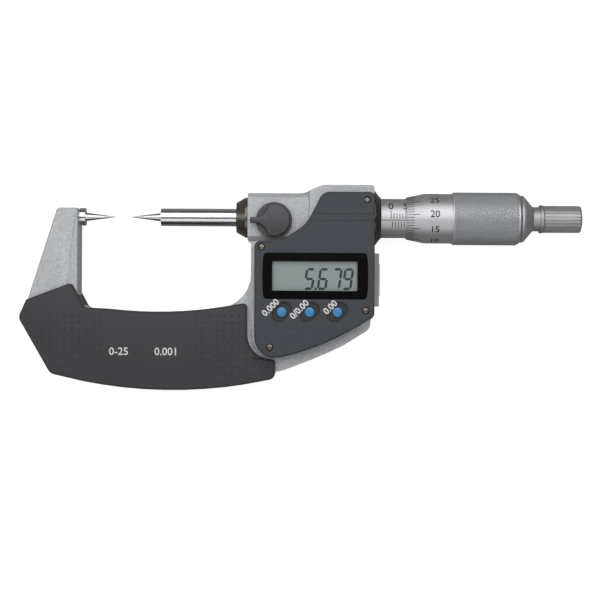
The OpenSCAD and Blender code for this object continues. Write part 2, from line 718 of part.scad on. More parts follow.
module battery_cap_seal() color("#151515") translate([cell_at.x, cell_at.y, -axis_height + 0.75])
    difference() {
        cylinder(h = 0.7, d = cap_d + 0.16);
        translate([0, 0, -e]) cylinder(h = 2, d = cap_d - 1.56);
    }

// ---- data socket ----

module data_socket() color("#202024") difference() {
    translate([housing_end - housing_wall - 5, port_y - 5, -3]) cube([5 + housing_wall, 10, 6]);
    translate([housing_end - housing_wall - 2, port_y - 4, -2]) cube([10, 8, 4]);
}

module data_socket_cover() color("#b9bbbf") {
    difference() {
        translate([housing_end + 0.02, port_y - port_l / 2, -port_w / 2]) cube([port_t, port_l, port_w]);
        for (s = [-1, 1]) translate([housing_end - 1, port_y + s * (port_l / 2 - 1.6), 0])
            rotate([0, 90, 0]) {
                cylinder(h = 5, d = 1.2);
                translate([0, 0, 1.5]) cylinder(h = 5, d = 2.1);
            }
    }
    // finger ribs outside, and a plug into the socket inside
    for (i = [-5:5]) translate([housing_end + port_t - 0.05, port_y + i - 0.25, -port_w / 2 + 0.6])
        cube([0.5, 0.5, port_w - 1.2]);
    translate([housing_end - 1.4, port_y - 3.8, -1.8]) cube([1.5, 7.6, 3.6]);
}

module data_cover_screws() color("silver") for (s = [-1, 1])
    translate([housing_end - housing_wall + 0.1, port_y + s * (port_l / 2 - 1.6), 0]) rotate([0, 90, 0]) {
        cylinder(h = 2.7, d = 0.88);
        difference() {
            translate([0, 0, 2.42]) cylinder(h = 0.7, d = 1.9);
            translate([-0.6, -0.12, 2.8]) cube([1.2, 0.24, 1]);
        }
    }

place() frame();
place() anvil();
place() anvil_tip();
place() front_heat_shield();
place() back_heat_shield();
place() seal_nut();
place() spindle_wiper();
place() guide_bush();
place() clamp_shoe();
place() clamp_screw();
place() clamp_lever();
place() rotor_spring();
place() rotor_bush();
place() encoder_rotor();
place() encoder_stator();
place() inner_sleeve();
place() taper_nut();
place() sleeve();
place() sleeve_collar();
place() spindle();
place() spindle_tip();
place() thimble();
place() thimble_seal();
place() thimble_cap();
place() ratchet_screw();
place() ratchet_wheel();
place() ratchet_pawl();
place() ratchet_neck();
place() ratchet_spring();
place() ratchet_knob();
place() front_cover();
place() cover_gasket();
place() cover_screws();
place() display_window();
place() lcd_panel();
place() lcd_holder();
place() contact_strips();
place() main_board();
place() switch_domes();
place() button_left();
place() button_middle();
place() button_right();
place() battery();
place() battery_spring();
place() battery_cap();
place() battery_cap_seal();
place() data_socket();
place() data_socket_cover();
place() data_cover_screws();
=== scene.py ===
"""An outside micrometer with a digital display, 0 to 25 mm, with carbide needle points."""
from math import atan2, ceil, cos, pi, radians, sin

import bmesh
import bpy
from mathutils import Matrix, Vector
from mathutils.bvhtree import BVHTree


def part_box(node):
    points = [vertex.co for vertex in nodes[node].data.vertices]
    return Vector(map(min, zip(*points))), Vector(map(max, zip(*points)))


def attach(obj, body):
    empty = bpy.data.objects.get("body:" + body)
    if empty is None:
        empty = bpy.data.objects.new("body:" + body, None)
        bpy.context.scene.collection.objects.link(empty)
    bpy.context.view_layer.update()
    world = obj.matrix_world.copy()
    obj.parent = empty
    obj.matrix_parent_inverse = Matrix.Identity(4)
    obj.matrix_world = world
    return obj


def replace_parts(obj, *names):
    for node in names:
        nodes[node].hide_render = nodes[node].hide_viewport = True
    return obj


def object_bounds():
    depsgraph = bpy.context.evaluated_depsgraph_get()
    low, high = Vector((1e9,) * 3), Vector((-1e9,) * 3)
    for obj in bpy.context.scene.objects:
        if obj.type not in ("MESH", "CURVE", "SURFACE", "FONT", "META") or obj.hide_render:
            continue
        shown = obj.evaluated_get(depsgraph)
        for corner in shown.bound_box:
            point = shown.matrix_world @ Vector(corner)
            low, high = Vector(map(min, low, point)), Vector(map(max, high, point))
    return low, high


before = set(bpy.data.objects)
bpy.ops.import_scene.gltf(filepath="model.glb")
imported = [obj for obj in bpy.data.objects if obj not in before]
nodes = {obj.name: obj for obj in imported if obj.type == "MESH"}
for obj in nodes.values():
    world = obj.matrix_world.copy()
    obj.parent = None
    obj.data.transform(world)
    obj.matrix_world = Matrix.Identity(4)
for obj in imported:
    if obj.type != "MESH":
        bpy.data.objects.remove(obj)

size_of_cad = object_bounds()


# ---- datum, camera, floor and light ----
# Lengths are set out from the anvil's needle point, as on the shop drawing: along the measuring axis, up the
# frame, and towards the display. The instrument lies on its back on a white bench under soft lamps.

millimetre = 0.001
spindle_low, spindle_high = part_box("spindle")
spindle_middle = (spindle_low + spindle_high) / 2
datum = Vector((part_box("anvil_tip")[1].x, spindle_middle.y, spindle_middle.z))


def at(along, up=0.0, out=0.0):
    """The point that many millimetres from the anvil's point."""
    return datum + Vector((along, up, out)) * millimetre


camera = bpy.data.cameras.new("camera")
camera.lens = 91.4
camera.sensor_width = 36
camera_object = bpy.data.objects.new("camera", camera)
camera_height, camera_roll = 520, radians(0.31)
camera_object.location = at(63.16, -27.99, camera_height)
camera_object.rotation_euler = (0, 0, camera_roll)
bpy.context.scene.collection.objects.link(camera_object)
bpy.context.scene.camera = camera_object
bpy.context.scene.view_settings.view_transform = "Standard"

bench_material = bpy.data.materials.new("white_bench")
bench_material.use_nodes = True
bench_nodes, bench_links = bench_material.node_tree.nodes, bench_material.node_tree.links
bench_shader = bench_nodes["Principled BSDF"]
bench_shader.inputs["Base Color"].default_value = (0.26, 0.26, 0.26, 1)
bench_shader.inputs["Roughness"].default_value = 0.9
bench_glow = bench_nodes.new("ShaderNodeEmission")
bench_glow.inputs["Strength"].default_value = 0.9
bench_clear = bench_nodes.new("ShaderNodeBsdfTransparent")
bench_seen = bench_nodes.new("ShaderNodeLightPath")
bench_side = bench_nodes.new("ShaderNodeNewGeometry")
bench_add = bench_nodes.new("ShaderNodeAddShader")
bench_mix = bench_nodes.new("ShaderNodeMixShader")
bench_under = bench_nodes.new("ShaderNodeMixShader")
for source, target in (
        (bench_shader.outputs[0], bench_add.inputs[0]),
        (bench_glow.outputs[0], bench_add.inputs[1]),
        (bench_seen.outputs["Is Camera Ray"], bench_mix.inputs[0]),
        (bench_shader.outputs[0], bench_mix.inputs[1]),
        (bench_add.outputs[0], bench_mix.inputs[2]),
        (bench_side.outputs["Backfacing"], bench_under.inputs[0]),
        (bench_mix.outputs[0], bench_under.inputs[1]),
        (bench_clear.outputs[0], bench_under.inputs[2]),
        (bench_under.outputs[0], bench_nodes["Material Output"].inputs["Surface"])):
    bench_links.new(source, target)

bench = bpy.data.meshes.new("bench")
bench_reach, bench_z = 3.0, size_of_cad[0][2]
bench_corners = [(x * bench_reach, y * bench_reach, bench_z) for x, y in ((-1, -1), (1, -1), (1, 1), (-1, 1))]
bench.from_pydata(bench_corners, [], [(0, 1, 2, 3)])
bench.materials.append(bench_material)
bench_object = bpy.data.objects.new("bench", bench)
bpy.context.scene.collection.objects.link(bench_object)
bench_object.visible_shadow = False

room = bpy.data.worlds.new("room")
room.use_nodes = True
room_nodes, room_links = room.node_tree.nodes, room.node_tree.links
room_dim = room_nodes["Background"]
room_dim.inputs["Color"].default_value = (0.93, 0.96, 1, 1)
room_dim.inputs["Strength"].default_value = 0.09
room_white = room_nodes.new("ShaderNodeBackground")
room_white.inputs["Color"].default_value = (0.98, 0.98, 0.98, 1)
room_seen = room_nodes.new("ShaderNodeLightPath")
room_mix = room_nodes.new("ShaderNodeMixShader")
room_links.new(room_seen.outputs["Is Camera Ray"], room_mix.inputs[0])
room_links.new(room_dim.outputs[0], room_mix.inputs[1])
room_links.new(room_white.outputs[0], room_mix.inputs[2])
room_links.new(room_mix.outputs[0], room_nodes["World Output"].inputs["Surface"])
bpy.context.scene.world = room


def lamp(name, place, size, power):
    """A soft rectangular lamp that points at the middle of the instrument."""
    light = bpy.data.lights.new(name, "AREA")
    light.shape = "RECTANGLE"
    light.size, light.size_y = size
    light.energy = power
    lamp_object = bpy.data.objects.new(name, light)
    lamp_object.location = Vector(place)
    lamp_object.rotation_euler = (-Vector(place)).to_track_quat("-Z", "Y").to_euler()
    bpy.context.scene.collection.objects.link(lamp_object)


lamp("overhead", (0.0, 0.20, 0.95), (1.3, 0.26), 3.0)
lamp("upper_softbox", (0.05, 0.66, 0.8), (1.3, 0.6), 5.4)
lamp("lower_softbox", (0.0, -0.60, 0.8), (1.3, 0.6), 2.9)
lamp("left_softbox", (-0.9, 0.1, 0.7), (0.4, 0.8), 1.8)
lamp("under_softbox", (0.1, 0.2, -0.95), (1.2, 0.9), 7.0)


# ---- frame ----
# The C-shaped casting that everything is screwed to: a bow with a post for the anvil, and a housing for the
# display. Cast aluminium under a grey hammered stove enamel, its bores and lips machined afterwards.

def wire(tree, kind, inputs=(), **settings):
    """Adds a node to a tree. inputs gives each socket a value, or the output that it is joined to."""
    node = tree.nodes.new(kind)
    for key, value in settings.items():
        setattr(node, key, value)
    for key, value in dict(inputs).items():
        if isinstance(value, bpy.types.NodeSocket):
            tree.links.new(value, node.inputs[key])
        else:
            node.inputs[key].default_value = value
    return node


def effect(name, sizes, outputs):
    """An empty shader group with named number inputs, and its input and output nodes."""
    group = bpy.data.node_groups.new(name, "ShaderNodeTree")
    for size_name, value in sizes.items():
        socket = group.interface.new_socket(size_name, in_out="INPUT", socket_type="NodeSocketFloat")
        socket.default_value = value
    for output in outputs:
        group.interface.new_socket(output, in_out="OUTPUT", socket_type="NodeSocketFloat")
    return group, group.nodes.new("NodeGroupInput").outputs, group.nodes.new("NodeGroupOutput").inputs


def stretched_place(group, size, stretch=(1.0, 1.0, 1.0)):
    """Object coordinates in units of size, given in millimetres, drawn out along some axes."""
    place = wire(group, "ShaderNodeTexCoord").outputs["Object"]
    scale = wire(group, "ShaderNodeMath", {0: 1000.0, 1: size}, operation="DIVIDE").outputs[0]
    scaled = wire(group, "ShaderNodeVectorMath", {0: place, "Scale": scale}, operation="SCALE").outputs[0]
    return wire(group, "ShaderNodeVectorMath", {0: scaled, 1: stretch}, operation="MULTIPLY").outputs[0]


mottle, given, made = effect("mottle", {"Size": 8.0, "Sharpness": 0.5}, ("Mask",))
mottle_noise = wire(mottle, "ShaderNodeTexNoise", {
    "Vector": stretched_place(mottle, given["Size"]), "Detail": 4.0})
mottle_low = wire(mottle, "ShaderNodeMath", {0: 0.3, 1: given["Sharpness"]}, operation="MULTIPLY").outputs[0]
mottle_high = wire(mottle, "ShaderNodeMath", {0: 1.0, 1: mottle_low}, operation="SUBTRACT").outputs[0]
mottle_range = wire(mottle, "ShaderNodeMapRange", {
    "Value": mottle_noise.outputs[0], "From Min": mottle_low, "From Max": mottle_high})
mottle.links.new(mottle_range.outputs[0], made["Mask"])

hammered, given, made = effect("hammered", {"Size": 0.9}, ("Height", "Mask"))
hammered_place = stretched_place(hammered, given["Size"])
hammered_warp = wire(hammered, "ShaderNodeTexNoise", {"Vector": hammered_place, "Scale": 0.7, "Detail": 2.0})
hammered_bent = wire(hammered, "ShaderNodeMix", {
    0: 0.35, 4: hammered_place, 5: hammered_warp.outputs["Color"]}, data_type="VECTOR")
hammered_cells = wire(hammered, "ShaderNodeTexVoronoi", {
    "Vector": hammered_bent.outputs[1], "Smoothness": 0.6}, feature="SMOOTH_F1")
hammered_fleck = wire(hammered, "ShaderNodeTexVoronoi", {"Vector": hammered_bent.outputs[1]})
hammered_tone = wire(hammered, "ShaderNodeSeparateColor", {0: hammered_fleck.outputs["Color"]})
hammered.links.new(hammered_cells.outputs["Distance"], made["Height"])
hammered.links.new(hammered_tone.outputs[0], made["Mask"])

turned_lines, given, made = effect("turned_lines", {"Pitch": 0.12}, ("Height", "Mask"))
turned_noise = wire(turned_lines, "ShaderNodeTexNoise", {
    "Vector": stretched_place(turned_lines, given["Pitch"], (1.0, 0.004, 0.004)), "Detail": 3.0})
turned_lines.links.new(turned_noise.outputs[0], made["Height"])
turned_lines.links.new(turned_noise.outputs[0], made["Mask"])

moulded_grain, given, made = effect("moulded_grain", {"Size": 0.25}, ("Height", "Mask"))
moulded_noise = wire(moulded_grain, "ShaderNodeTexNoise", {
    "Vector": stretched_place(moulded_grain, given["Size"]), "Detail": 3.0, "Roughness": 0.6})
moulded_grain.links.new(moulded_noise.outputs[0], made["Height"])
moulded_grain.links.new(moulded_noise.outputs[0], made["Mask"])


def finish(name, colours, roughness, grain, grain_size, depth, patch=9.0, metallic=0.0, sockets=()):
    """A finish whose colour and roughness wander between two values, with a grain that stands in relief."""
    material = bpy.data.materials.new(name)
    material.use_nodes = True
    tree = material.node_tree
    shader = tree.nodes["Principled BSDF"]
    shader.inputs["Metallic"].default_value = metallic
    for socket, value in dict(sockets).items():
        shader.inputs[socket].default_value = value
    patches = wire(tree, "ShaderNodeGroup", node_tree=mottle)
    patches.inputs["Size"].default_value = patch
    grains = wire(tree, "ShaderNodeGroup", node_tree=grain)
    grains.inputs[0].default_value = grain_size
    share = wire(tree, "ShaderNodeMath", {0: patches.outputs["Mask"], 1: grains.outputs["Mask"]},
                 operation="ADD")
    half = wire(tree, "ShaderNodeMath", {0: share.outputs[0], 1: 0.5}, operation="MULTIPLY").outputs[0]
    tone = wire(tree, "ShaderNodeMix", {0: half}, data_type="RGBA")
    tone.inputs[6].default_value = (*colours[0], 1)
    tone.inputs[7].default_value = (*colours[1], 1)
    tree.links.new(tone.outputs[2], shader.inputs["Base Color"])
    rough = wire(tree, "ShaderNodeMapRange", {"Value": half, "To Min": roughness[0], "To Max": roughness[1]})
    tree.links.new(rough.outputs[0], shader.inputs["Roughness"])
    bump = wire(tree, "ShaderNodeBump", {"Strength": 1.0, "Distance": depth * millimetre,
                                         "Height": grains.outputs["Height"]})
    tree.links.new(bump.outputs[0], shader.inputs["Normal"])
    return material


def dress(material, *names):
    """Gives a finish to CAD nodes whose shape stays as it is."""
    for name in names:
        for place in nodes[name].material_slots:
            place.material = material


def merged(name):
    """A CAD node's shape as a new mesh: its loose triangles joined, its flat faces made whole."""
    build = bmesh.new()
    build.from_mesh(nodes[name].data)
    bmesh.ops.remove_doubles(build, verts=build.verts, dist=2e-6)
    bmesh.ops.dissolve_limit(build, angle_limit=radians(0.6), verts=build.verts, edges=build.edges)
    return build


def soften(build, width, wanted, segments=2, sharp=35):
    """Rounds the sharp edges that are wanted, going by the edge and its middle in shop millimetres."""
    picked = []
    for edge in build.edges:
        middle = ((edge.verts[0].co + edge.verts[1].co) / 2 - datum) / millimetre
        if len(edge.link_faces) == 2 and edge.calc_face_angle(0) > radians(sharp) and wanted(edge, middle):
            picked.append(edge)
    bmesh.ops.bevel(build, geom=picked, offset=width * millimetre, offset_type="OFFSET", segments=segments,
                    profile=0.5, affect="EDGES", clamp_overlap=False)


def piece(build, name, material, body, smooth=30):
    """Turns a mesh under work into a finished piece that rides on a body."""
    mesh = bpy.data.meshes.new(name)
    build.to_mesh(mesh)
    build.free()
    if "custom_normal" in mesh.attributes:
        mesh.attributes.remove(mesh.attributes["custom_normal"])
    mesh.materials.clear()
    mesh.materials.append(material)
    mesh.shade_smooth()
    mesh.set_sharp_from_angle(angle=radians(smooth))
    made_object = bpy.data.objects.new(name, mesh)
    bpy.context.scene.collection.objects.link(made_object)
    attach(made_object, body)
    return made_object


enamel = finish("hammered_enamel", ((0.35, 0.36, 0.375), (0.645, 0.66, 0.675)), (0.30, 0.46), hammered, 0.8,
                0.16, patch=5.0, metallic=0.2, sockets={"Coat Weight": 0.35, "Coat Roughness": 0.18})
casting = merged("frame")
bow_face, housing_start = 5.5, 44
rim_height, back_height, housing_middle = 8.6, -10.0, Vector((66, -20, 0))
cast_edge, front_corner_edge, top_edge = 0.7, 2.0, 0.6


def on_outside(edge, p, height):
    """True for an edge between the housing's outside wall and its level face at a height."""
    outward = any(abs(face.normal.z) < 0.3 and face.normal.dot(p - housing_middle) > 0
                  for face in edge.link_faces)
    return outward and abs(p.z - height) < 0.03


def on_front_corner(edge, p):
    """True for the rim's edge along the housing's front corner, which has the widest round."""
    return on_outside(edge, p, rim_height) and p.y < -34 and p.x < 84


soften(casting, cast_edge, lambda edge, p: abs(abs(p.z) - bow_face) < 0.05 and p.x < housing_start)
soften(casting, front_corner_edge, on_front_corner, segments=4)
soften(casting, top_edge, lambda edge, p: on_outside(edge, p, rim_height) and p.y > 0)
soften(casting, cast_edge, lambda edge, p: on_outside(edge, p, back_height))
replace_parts(piece(casting, "frame_casting", enamel, "frame"), "frame")


# ---- anvil ----
# The fixed measuring face: a hardened steel pin ground to a 15 degree needle, pressed into the post. Its last
# few millimetres are tungsten carbide, brazed on and lapped. The spindle's point is the same.

ground_steel = finish("ground_steel", ((0.56, 0.57, 0.58), (0.66, 0.67, 0.68)), (0.13, 0.24), turned_lines,
                      0.16, 0.012, metallic=1.0)
carbide = finish("lapped_carbide", ((0.42, 0.42, 0.43), (0.52, 0.52, 0.53)), (0.12, 0.2), turned_lines,
                 0.08, 0.006, metallic=1.0)
dress(ground_steel, "anvil")
dress(carbide, "anvil_tip", "spindle_tip")


# ---- heat shields ----
# Two moulded covers pressed over the bow, front and back, which keep the hand's warmth from the casting. They
# are glass-filled nylon, with raised studs for grip, and the range and the step printed in plain figures.

def linked(name, mesh):
    """A new object that shows a mesh."""
    new_object = bpy.data.objects.new(name, mesh)
    bpy.context.scene.collection.objects.link(new_object)
    return new_object


def growing(name, inputs):
    """An empty Geometry Nodes tree with named inputs, and its input and output nodes."""
    tree = bpy.data.node_groups.new(name, "GeometryNodeTree")
    for input_name, kind in inputs:
        tree.interface.new_socket(input_name, in_out="INPUT", socket_type="NodeSocket" + kind)
    tree.interface.new_socket("Geometry", in_out="OUTPUT", socket_type="NodeSocketGeometry")
    return tree, tree.nodes.new("NodeGroupInput").outputs, tree.nodes.new("NodeGroupOutput").inputs


def grown(tree, name, values, body, start=None, smooth=30):
    """Runs a tree with its inputs set, and keeps the result as a plain mesh that rides on a body."""
    carrier = bpy.data.objects.new(name, start or bpy.data.meshes.new(name))
    modifier = carrier.modifiers.new(name, "NODES")
    modifier.node_group = tree
    for socket in tree.interface.items_tree:
        if socket.in_out == "INPUT" and socket.name in values:
            modifier[socket.identifier] = values[socket.name]
    bpy.context.scene.collection.objects.link(carrier)
    bpy.context.view_layer.update()
    mesh = bpy.data.meshes.new_from_object(carrier.evaluated_get(bpy.context.evaluated_depsgraph_get()))
    carrier.modifiers.clear()
    carrier.data = mesh
    mesh.name = name
    mesh.polygons.foreach_set("material_index", [0] * len(mesh.polygons))
    mesh.materials.clear()
    mesh.materials.append(values["Finish"])
    mesh.shade_smooth()
    mesh.set_sharp_from_angle(angle=radians(smooth))
    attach(carrier, body)
    return carrier


copies, given, made = growing("copies_at_points", (
    ("Points", "Geometry"), ("Shape", "Object"), ("Turn", "Vector"), ("Finish", "Material")))
copied = wire(copies, "GeometryNodeInstanceOnPoints", {
    "Points": given["Points"], "Rotation": given["Turn"],
    "Instance": wire(copies, "GeometryNodeObjectInfo", {"Object": given["Shape"]}).outputs["Geometry"]})
copied = wire(copies, "GeometryNodeRealizeInstances", {"Geometry": copied.outputs[0]})
copied = wire(copies, "GeometryNodeSetMaterial", {"Geometry": copied.outputs[0], "Material": given["Finish"]})
copies.links.new(copied.outputs[0], made["Geometry"])


def points_mesh(places):
    """A mesh of loose points."""
    mesh = bpy.data.meshes.new("places")
    mesh.from_pydata(places, [], [])
    return mesh


def round_template(name, profile, sides):
    """A small solid turned about its own upright axis from (radius, height) pairs in millimetres."""
    build = bmesh.new()
    rings = []
    for radius, height in profile:
        turns = [2 * pi * (i + 0.5) / sides for i in range(sides)] if radius > 0 else [0.0]
        rings.append([build.verts.new(Vector((radius * cos(t), radius * sin(t), height)) * millimetre)
                      for t in turns])
    for lower, upper in zip(rings, rings[1:]):
        for i in range(sides):
            loop = [lower[i % len(lower)], lower[(i + 1) % len(lower)],
                    upper[(i + 1) % len(upper)], upper[i % len(upper)]]
            build.faces.new(list(dict.fromkeys(loop)))
    bmesh.ops.recalc_face_normals(build, faces=build.faces)
    mesh = bpy.data.meshes.new(name)
    build.to_mesh(mesh)
    build.free()
    return linked(name, mesh)


def level_places(node, spacing, first, last, wanted, clear, side=1):
    """The points of a square grid that have that much level face of a CAD node round them."""
    build = bmesh.new()
    build.from_mesh(nodes[node].data)
    tree = BVHTree.FromBMesh(build)
    build.free()
    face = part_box(node)[1].z if side > 0 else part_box(node)[0].z
    found = []
    ring = [(0, 0)] + [(clear * cos(t * pi / 4), clear * sin(t * pi / 4)) for t in range(8)]
    for row in range(ceil((first[1] - last[1]) / spacing)):
        for column in range(ceil((last[0] - first[0]) / spacing)):
            along, up = first[0] + column * spacing, first[1] - row * spacing
            hits = [tree.ray_cast(at(along + dx, up + dy, 30 * side), Vector((0, 0, -side)))[0]
                    for dx, dy in ring]
            if wanted(along, up) and all(hit and abs(hit.z - face) < 0.02 * millimetre for hit in hits):
                found.append(Vector((at(along).x, at(0, up).y, face)))
    return found


print_thickness, digit_share = 0.03, 0.69      # the share of the font's size that a digit is high


def flat_figures(text, height, along, up, tilt=0.0, weight=0.015):
    """Plain figures as a thin solid in millimetres, their middle at a place on a level face at height 0."""
    curve = bpy.data.curves.new(text, "FONT")
    curve.body = text
    curve.size = height / digit_share
    curve.align_x, curve.align_y = "CENTER", "CENTER"
    curve.extrude = print_thickness / 2
    curve.offset = weight * height
    curve.resolution_u = 3
    carrier = linked(text, curve)
    bpy.context.view_layer.update()
    mesh = bpy.data.meshes.new_from_object(carrier.evaluated_get(bpy.context.evaluated_depsgraph_get()))
    bpy.data.objects.remove(carrier)
    mesh.transform(Matrix.Translation((along, up, 0)) @ Matrix.Rotation(radians(tilt), 4, "Z"))
    return mesh


def printed(meshes, name, material, body, out):
    """Joins flat print and lays it on a face that is that far out."""
    build = bmesh.new()
    for mesh in meshes:
        build.from_mesh(mesh)
        bpy.data.meshes.remove(mesh)
    bmesh.ops.remove_doubles(build, verts=build.verts, dist=1e-5)
    for vertex in build.verts:
        vertex.co = at(vertex.co.x, vertex.co.y, out + vertex.co.z)
    return piece(build, name, material, body)


shield_nylon = finish("shield_nylon", ((0.034, 0.031, 0.036), (0.050, 0.046, 0.052)), (0.46, 0.6),
                      moulded_grain, 0.3, 0.02, sockets={"Specular IOR Level": 0.35})
shield_step, bevel_drop, face_round, near = 0.9, 0.32, 0.3, 0.02
for node, side in (("front_heat_shield", 1), ("back_heat_shield", -1)):
    shield = merged(node)
    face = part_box(node)[1].z if side > 0 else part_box(node)[0].z
    shoulder = face - side * shield_step * millimetre
    for vertex in shield.verts:
        if abs(vertex.co.z - shoulder) < near * millimetre and any(
                abs(edge.other_vert(vertex).co.z - face) < near * millimetre for edge in vertex.link_edges):
            vertex.co.z = face - side * bevel_drop * millimetre
    soften(shield, face_round, lambda edge, p: abs(p.z - (face - datum.z) / millimetre) < near, segments=3)
    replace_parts(piece(shield, node + "_moulding", shield_nylon, "frame"), node)
stud = round_template("stud", ((0, -0.1), (0.46, -0.1), (0.44, 0.0), (0.36, 0.1), (0.2, 0.16), (0, 0.18)), 10)
stud_spacing, stud_clear, figures_from, figures_to = 2.45, 1.3, -2.5, 27
for node, side in (("front_heat_shield", 1), ("back_heat_shield", -1)):
    stud_places = level_places(node, stud_spacing, (-28.4, -33.4), (54, -56),
                               lambda along, up: along < figures_from or along > figures_to, stud_clear, side)
    grown(copies, node + "_studs", {
        "Shape": stud, "Turn": (0 if side > 0 else pi, 0, 0), "Finish": shield_nylon},
        "frame", points_mesh(stud_places))
bpy.data.objects.remove(stud)

print_white = finish("print_white", ((0.62, 0.62, 0.63), (0.72, 0.72, 0.73)), (0.5, 0.6), moulded_grain,
                     0.2, 0.005)
shield_front = (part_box("front_heat_shield")[1].z - datum.z) / millimetre
printed([flat_figures("0-25", 2.5, 2.2, -45.7), flat_figures("0.001", 2.5, 18.2, -45.7)], "shield_figures",
        print_white, "frame", shield_front)


# ---- seal nut, wiper and guide bush ----
# The bronze bush in the boss carries the spindle. A tapered nut of dark plated brass on its nose holds a
# rubber wiper that keeps coolant out.

plated_brass = finish("plated_brass", ((0.125, 0.112, 0.084), (0.18, 0.165, 0.13)), (0.24, 0.36),
                      turned_lines, 0.2, 0.02, metallic=0.8)
bush_bronze = finish("bush_bronze", ((0.50, 0.33, 0.16), (0.58, 0.40, 0.21)), (0.25, 0.4), turned_lines,
                     0.2, 0.02, metallic=1.0)
black_rubber = finish("black_rubber", ((0.018, 0.018, 0.018), (0.03, 0.03, 0.03)), (0.6, 0.75),
                      moulded_grain, 0.4, 0.02)
dress(plated_brass, "seal_nut")
dress(bush_bronze, "guide_bush")
dress(black_rubber, "spindle_wiper")


# ---- spindle clamp ----
# A lever fixed on a screw in the boss. Turned, it presses a bronze shoe on the spindle. The lever is die-cast
# zinc, blackened, with a raised round head and a thin tail for the thumb.

blackened_zinc = finish("blackened_zinc", ((0.05, 0.051, 0.055), (0.075, 0.076, 0.08)), (0.32, 0.44),
                        moulded_grain, 0.5, 0.03, metallic=0.5)
plain_steel = finish("plain_steel", ((0.40, 0.39, 0.38), (0.5, 0.49, 0.48)), (0.22, 0.38), moulded_grain,
                     0.3, 0.01, metallic=1.0)
lever = merged("clamp_lever")
soften(lever, 0.4, lambda edge, p: p.z > 9.4, segments=3)
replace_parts(piece(lever, "clamp_lever_cast", blackened_zinc, "clamp"), "clamp_lever")
dress(plain_steel, "clamp_screw")
dress(bush_bronze, "clamp_shoe")


# ---- encoder ----
# A printed rotor disc turns beside a printed stator, which is fixed in the housing and reads the angle. The
# rotor sits on a bronze bush keyed to the spindle, with a spring behind it.

encoder_green = finish("encoder_board", ((0.02, 0.10, 0.05), (0.03, 0.14, 0.07)), (0.3, 0.45),
                       moulded_grain, 0.5, 0.02)
dress(bush_bronze, "rotor_bush", "rotor_spring")
dress(encoder_green, "encoder_rotor", "encoder_stator")


# ---- sleeve ----
# The fixed barrel: a satin-chromed steel tube held by friction on the inner sleeve, with a black collar at
# its root. The main line and the millimetre marks are engraved and filled with black.

satin_chrome = finish("satin_chrome", ((0.52, 0.52, 0.535), (0.61, 0.61, 0.625)), (0.46, 0.56),
                      turned_lines, 0.14, 0.015, metallic=1.0)
black_collar = finish("black_collar", ((0.012, 0.012, 0.013), (0.022, 0.022, 0.023)), (0.12, 0.22),
                      turned_lines, 0.3, 0.02)
engraved_black = finish("engraved_black", ((0.012, 0.012, 0.013), (0.02, 0.02, 0.02)), (0.5, 0.6),
                        moulded_grain, 0.2, 0.01)
dress(satin_chrome, "sleeve")
dress(black_collar, "sleeve_collar")
dress(plain_steel, "inner_sleeve", "taper_nut")


def stroke(build, start, end, low, high):
    """A mark from start to end along the axis and from low to high round it, as a thin flat solid."""
    block = bmesh.ops.create_cube(build, size=1.0)["verts"]
    bmesh.ops.scale(build, verts=block, vec=(end - start, high - low, print_thickness))
    bmesh.ops.translate(build, verts=block, vec=((start + end) / 2, (low + high) / 2, 0))


def engraved(strokes, figures, name, radius_at, unroll, body):
    """Bends flat marks and figures round the measuring axis, so that unroll millimetres make one radian."""
    build = bmesh.new()
    for mark in strokes:
        stroke(build, *mark)
    for mesh in figures:
        build.from_mesh(mesh)
        bpy.data.meshes.remove(mesh)
    bmesh.ops.remove_doubles(build, verts=build.verts, dist=1e-4)
    lowest, highest = min(v.co.y for v in build.verts), max(v.co.y for v in build.verts)
    step = 0.45
    for i in range(1, ceil((highest - lowest) / step)):
        bmesh.ops.bisect_plane(build, geom=build.verts[:] + build.edges[:] + build.faces[:], dist=1e-5,
                               plane_co=(0, lowest + i * step, 0), plane_no=(0, 1, 0))
    for vertex in build.verts:
        radius, turn = radius_at(vertex.co.x) + vertex.co.z, vertex.co.y / unroll
        vertex.co = at(vertex.co.x, radius * sin(turn), radius * cos(turn))
    return piece(build, name, engraved_black, body)


sleeve_radius = (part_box("sleeve")[1].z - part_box("sleeve")[0].z) / 2 / millimetre
line_turn = radians(-7.7)
line_arc = line_turn * sleeve_radius
sleeve_zero, sleeve_marked_to, half_line, half_mark = 93.7, 119.7, 0.1, 0.12
sleeve_strokes = [(90.6, 120.6, line_arc - half_line, line_arc + half_line)]
for half in range(int(2 * (sleeve_marked_to - sleeve_zero)) + 1):
    along = sleeve_zero + half / 2
    if half % 2:
        sleeve_strokes.append((along - half_mark, along + half_mark, line_arc - 2.5, line_arc - 0.6))
    else:
        reach = 3.4 if half % 10 == 0 else 2.3
        sleeve_strokes.append((along - half_mark, along + half_mark, line_arc + 0.4, line_arc + reach))
sleeve_figures = [flat_figures(str(5 * i), 2.5, sleeve_zero + 5 * i, line_arc + 4.9) for i in range(6)]
engraved(sleeve_strokes, sleeve_figures, "sleeve_marks", lambda along: sleeve_radius, sleeve_radius, "frame")


# ---- spindle ----
# The measuring screw: hardened steel, ground to size, with its needle's carbide end brazed on. It slides and
# turns in the guide bush, and the thimble and the ratchet stop are fastened on its rear end.

dress(ground_steel, "spindle")


# ---- thimble ----
# The drum turned by the fingers: satin-chromed steel, its bevel graduated in fifty divisions, with a band of
# diamond knurling rolled in behind them. It carries the rubber seal and the rear cap.

